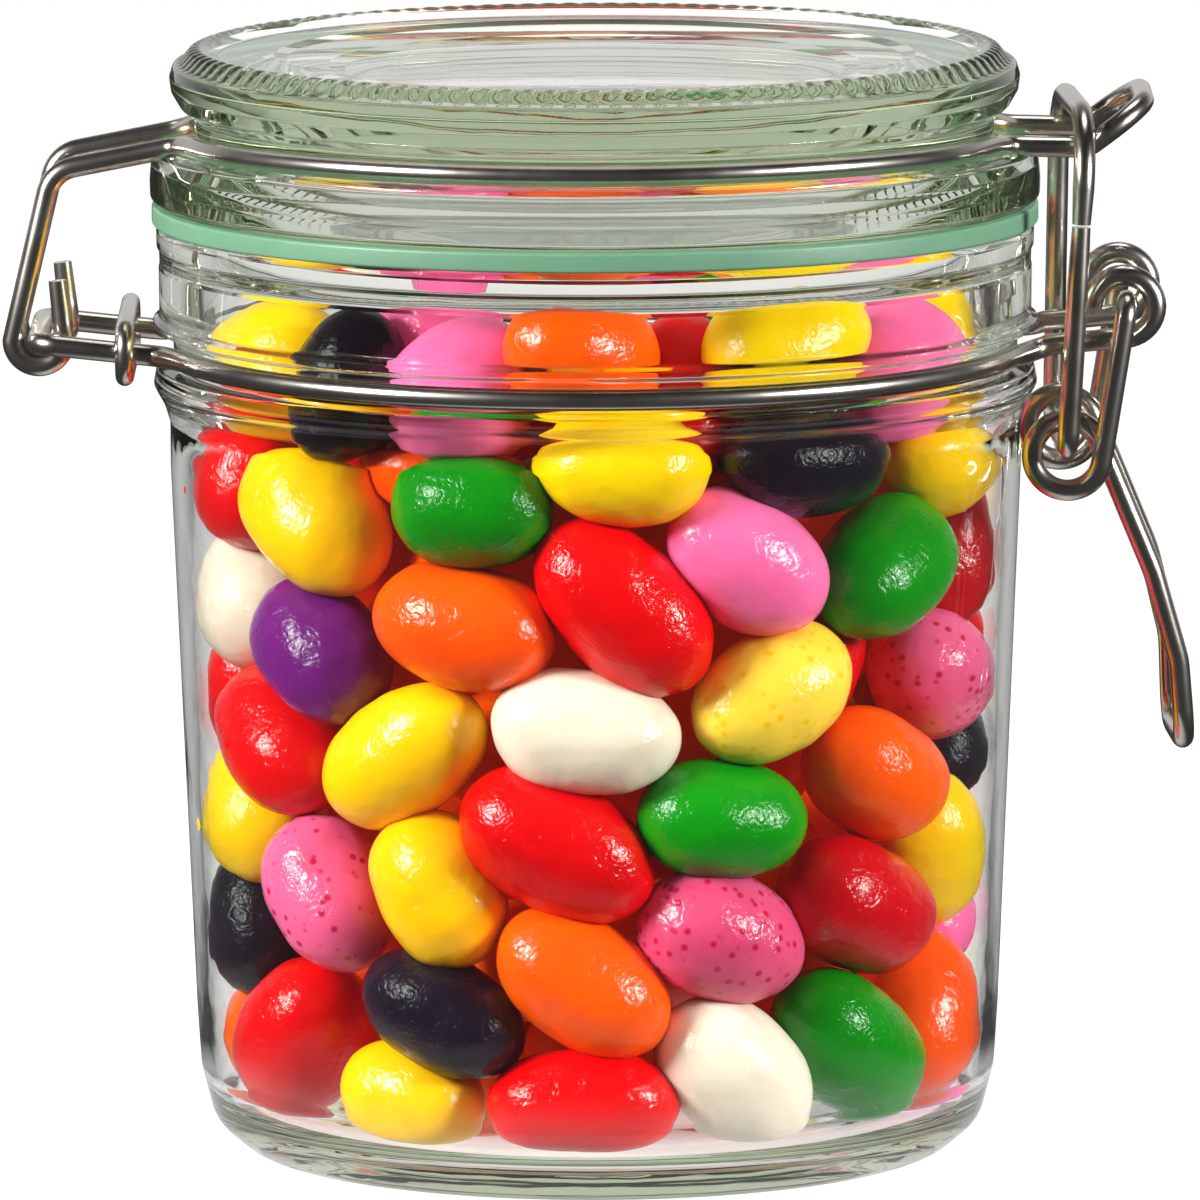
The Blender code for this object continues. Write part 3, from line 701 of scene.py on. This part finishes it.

# Each bean is felt as three balls on its long axis, which push the balls of other beans away.
# The listed beans hardly give way, so the others settle round them.
SETTLING_ROUNDS = 160
END_BALL = 0.82
PRESSED_IN = 0.25
centres = np.array([b[1] for b in beans])
axes = np.array([b[2] for b in beans])
lengths = np.array([b[3] for b in beans])
widths = np.array([b[4] for b in beans])
held = np.array([b[5] for b in beans])
gives = np.where(held, 0.02, 1.0)
moves = np.where(held, 0.2, 1.0)
bean_count = len(beans)
end_reach = lengths - END_BALL * widths
ball_size = np.concatenate([END_BALL * widths, widths, END_BALL * widths])
ball_owner = np.tile(np.arange(bean_count), 3)
ball_gives = gives[ball_owner]
share_of_push = ball_gives[:, None] / (ball_gives[:, None] + ball_gives[None, :])
same_bean = ball_owner[:, None] == ball_owner[None, :]
for _ in range(SETTLING_ROUNDS):
    reaches = axes * end_reach[:, None]
    balls = np.concatenate([centres - reaches, centres, centres + reaches])
    apart = balls[:, None, :] - balls[None, :, :]
    distance = np.linalg.norm(apart, axis=2) + 1e-6
    overlap = np.clip(ball_size[:, None] + ball_size[None, :] - PRESSED_IN - distance, 0.0, None)
    overlap[same_bean] = 0.0
    push = ((overlap * share_of_push * 0.35 / distance)[:, :, None] * apart).sum(axis=1)
    radial = np.hypot(balls[:, 0], balls[:, 1]) + 1e-6
    outside = np.clip(radial + ball_size - wall_radius(balls[:, 2]), 0.0, None)
    push[:, :2] -= balls[:, :2] / radial[:, None] * outside[:, None] * 0.6
    push[:, 2] += np.clip(HEAP_FLOOR + ball_size - balls[:, 2], 0.0, None) * 0.6
    heap_top = HEAP_FRONT_TOP - HEAP_SLOPE * (balls[:, 1] + 35.0)
    push[:, 2] -= np.clip(balls[:, 2] + ball_size - heap_top, 0.0, None) * 0.6 * ball_gives
    low_end, middle, high_end = push[:bean_count], push[bean_count:2 * bean_count], push[2 * bean_count:]
    centres += (low_end + middle + high_end) * 0.5 * moves[:, None]
    axes += (high_end - low_end) / (2.0 * end_reach[:, None]) * 0.6 * gives[:, None]
    axes /= np.linalg.norm(axes, axis=1)[:, None]

# Each bean is modelled from a ball: one end fuller, one side a little hollow, as in a mould, and
# waves of five lengths for lumps.  A bean that pokes into the glass or the floor is moved off it.
LUMPS = ((15.0, 0.1), (10.0, 0.08), (6.5, 0.05), (4.5, 0.035), (3.0, 0.018))
SKIN_GAP = 0.03
bpy.ops.object.select_all(action="DESELECT")
bpy.ops.mesh.primitive_ico_sphere_add(subdivisions=5, radius=1.0)
fine_bean = bpy.context.object
bpy.ops.mesh.primitive_ico_sphere_add(subdivisions=4, radius=1.0)
plain_bean = bpy.context.object

meshes = {}
for i, (kind, _, _, half_length, half_width, by_hand) in enumerate(beans):
    pattern = fine_bean if by_hand else plain_bean
    copy = bpy.data.objects.new(f"bean_{i}", pattern.data.copy())
    bpy.context.scene.collection.objects.link(copy)
    axis = Vector(axes[i])
    side = axis.cross(Vector((0.3, 0.2, 1.0))).normalized()
    third = axis.cross(side)
    roll = dice.uniform(0.0, math.tau)
    side, third = (side * math.cos(roll) + third * math.sin(roll),
                   third * math.cos(roll) - side * math.sin(roll))
    fuller, hollow, squash = dice.uniform(-0.05, 0.05), dice.uniform(0.0, 0.25), dice.uniform(0.97, 1.03)
    points = np.empty(len(copy.data.vertices) * 3)
    copy.data.vertices.foreach_get("co", points)
    points = points.reshape(-1, 3)
    along, across, up = points[:, 0], points[:, 1], points[:, 2]
    belly = 1.0 + fuller * along + 0.05 * (1.0 - along ** 2) * along ** 2 * 4.0
    local = np.stack([along * half_length,
                      across * belly * half_width * squash,
                      up * belly * half_width - hollow * (1.0 - along ** 2) * 0.5], axis=1)
    basis = np.array([axis, side, third])
    world = local @ basis + centres[i]
    lumps = np.zeros(len(world))
    for wave_length, depth in LUMPS:
        way = np.array([dice.gauss(0, 1), dice.gauss(0, 1), dice.gauss(0, 1)])
        way *= math.tau / wave_length / np.linalg.norm(way)
        lumps += depth * np.sin(world @ way + dice.uniform(0, math.tau))
    outward = (world - centres[i]) / np.linalg.norm(world - centres[i], axis=1)[:, None]
    world += outward * lumps[:, None]
    radial = np.hypot(world[:, 0], world[:, 1])
    beyond = radial + SKIN_GAP - wall_radius(world[:, 2])
    furthest = np.argmax(beyond)
    if beyond[furthest] > 0.0:
        world[:, :2] -= world[furthest, :2] / radial[furthest] * beyond[furthest]
    world[:, 2] += max(0.0, HEAP_FLOOR - world[:, 2].min())
    copy.data.vertices.foreach_set("co", (world * MM).ravel())
    tone = copy.data.attributes.new("tone", "FLOAT", "POINT")
    tone.data.foreach_set("value", [dice.uniform(0.0, 1.0)] * len(copy.data.vertices))
    meshes.setdefault(kind, []).append(copy)
bpy.data.objects.remove(fine_bean, do_unlink=True)
bpy.data.objects.remove(plain_bean, do_unlink=True)


def sugar_shell(kind, light_tone, deep_tone):
    """Gel under a boiled-sugar shell: light glows a little through it, and its gloss is crazed and
    dimpled; a buried bean also gets a faint painted glow.
    """
    material = bpy.data.materials.new(f"{kind}_sugar_shell")
    material.use_nodes = True
    tree = material.node_tree
    shell = tree.nodes["Principled BSDF"]
    place = add_node(tree, "ShaderNodeTexCoord")
    tone = add_node(tree, "ShaderNodeAttribute", {"attribute_name": "tone"})
    cloud = add_node(tree, "ShaderNodeTexNoise", inputs={"Vector": place.outputs["Object"],
                                                         "Scale": 1.0 / 0.006, "Detail": 3.0})
    blend = add_node(tree, "ShaderNodeMath", {"operation": "MULTIPLY_ADD"},
                     {0: cloud.outputs["Fac"], 1: 0.7, 2: tone.outputs["Fac"]})
    half = add_node(tree, "ShaderNodeMath", {"operation": "MULTIPLY"},
                    {0: blend.outputs["Value"], 1: 0.6})
    colour = add_node(tree, "ShaderNodeMix", {"data_type": "RGBA"},
                      {"Factor": half.outputs["Value"], "A": linear(light_tone), "B": linear(deep_tone)})
    skin = colour.outputs["Result"]
    if kind.endswith("speckled"):
        fleck = add_node(tree, "ShaderNodeTexVoronoi", inputs={"Vector": place.outputs["Object"],
                                                               "Scale": 1.0 / 0.0016})
        edge = add_node(tree, "ShaderNodeMapRange", {"interpolation_type": "SMOOTHSTEP"},
                        {"Value": fleck.outputs["Distance"], "From Min": 0.14, "From Max": 0.34,
                         "To Min": 0.9, "To Max": 0.0})
        speckled = add_node(tree, "ShaderNodeMix", {"data_type": "RGBA"},
                            {"Factor": edge.outputs["Result"], "A": skin, "B": linear(deep_tone)})
        skin = speckled.outputs["Result"]
    tree.links.new(skin, shell.inputs["Base Color"])
    # Dents of 2 mm, fine rings that follow them, and wrinkles drawn as coarse as they need to show.
    dents = add_node(tree, "ShaderNodeTexNoise", inputs={"Vector": place.outputs["Object"],
                                                         "Scale": 1.0 / 0.0021, "Detail": 1.0})
    contours = add_node(tree, "ShaderNodeMath", {"operation": "MULTIPLY"},
                        {0: dents.outputs["Fac"], 1: 34.0})
    rings = add_node(tree, "ShaderNodeMath", {"operation": "SINE"}, {0: contours.outputs["Value"]})
    wrinkles = add_node(tree, "ShaderNodeTexNoise", inputs={"Vector": place.outputs["Object"],
                                                            "Scale": 1.0 / 0.0007, "Detail": 2.0,
                                                            "Distortion": 1.5})
    dimpled = add_node(tree, "ShaderNodeBump", inputs={"Height": dents.outputs["Fac"], "Strength": 1.0,
                                                       "Distance": 0.00014})
    ringed = add_node(tree, "ShaderNodeBump", inputs={"Height": rings.outputs["Value"], "Strength": 1.0,
                                                      "Distance": 0.000013,
                                                      "Normal": dimpled.outputs["Normal"]})
    wrinkled = add_node(tree, "ShaderNodeBump", inputs={"Height": wrinkles.outputs["Fac"], "Strength": 1.0,
                                                        "Distance": 0.00008,
                                                        "Normal": ringed.outputs["Normal"]})
    tree.links.new(wrinkled.outputs["Normal"], shell.inputs["Coat Normal"])
    tree.links.new(dimpled.outputs["Normal"], shell.inputs["Normal"])
    shell.inputs["Roughness"].default_value = 0.5
    shell.inputs["Specular IOR Level"].default_value = 0.0
    shell.inputs["Coat Weight"].default_value = 1.0
    shell.inputs["Coat Roughness"].default_value = 0.17
    shell.inputs["Coat IOR"].default_value = 1.45
    shell.inputs["Subsurface Weight"].default_value = 0.35
    shell.inputs["Subsurface Radius"].default_value = (1.0, 0.6, 0.45)
    shell.inputs["Subsurface Scale"].default_value = 0.003
    # The gel between the front beans is lit through them; in its place the deep, buried beans get a faint
    # painted glow, though they are no lamp.
    if kind == "buried":
        shell.inputs["Emission Color"].default_value = linear("#ff3000")
        shell.inputs["Emission Strength"].default_value = 0.07
        material.cycles.emission_sampling = "NONE"
    return material


for kind, copies in meshes.items():
    bpy.ops.object.select_all(action="DESELECT")
    for copy in copies:
        copy.select_set(True)
    bpy.context.view_layer.objects.active = copies[0]
    bpy.ops.object.join()
    piece = bpy.context.object
    piece.name = f"{kind}_beans"
    bpy.ops.object.shade_smooth()
    piece.data.materials.append(sugar_shell(kind, *KINDS[kind]))
    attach(piece, "root")
    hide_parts("jelly_beans")

# The heap's middle, out of reach of light: one dark lump of gel behind the gaps between beans.
core_outline = fillet([(0.0, 84.0, 0), (15.0, 84.0, 6), (15.0, 8.0, 6), (0.0, 8.0, 0)], 20.0)
core = spun("heap_middle", core_outline, 48)
core.data.materials.append(bpy.data.materials["dark_red_sugar_shell"])
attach(core, "root")
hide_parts("jelly_beans")

# ---------------------------------------------------------------------------
# The softboxes' reach: light linking lets them light the beans, the ring, the wires
# and the floor, and keeps their round shapes out of the mirror of the two glasses.
# ---------------------------------------------------------------------------
lit = bpy.data.collections.new("lit_by_softboxes")
bpy.context.scene.collection.children.link(lit)
for piece in bpy.context.scene.objects:
    if piece.type == "MESH" and not piece.hide_render and piece not in (jar, lid):
        lit.objects.link(piece)
for lamp_name, *_ in LAMPS:
    bpy.data.objects[lamp_name].light_linking.receiver_collection = lit
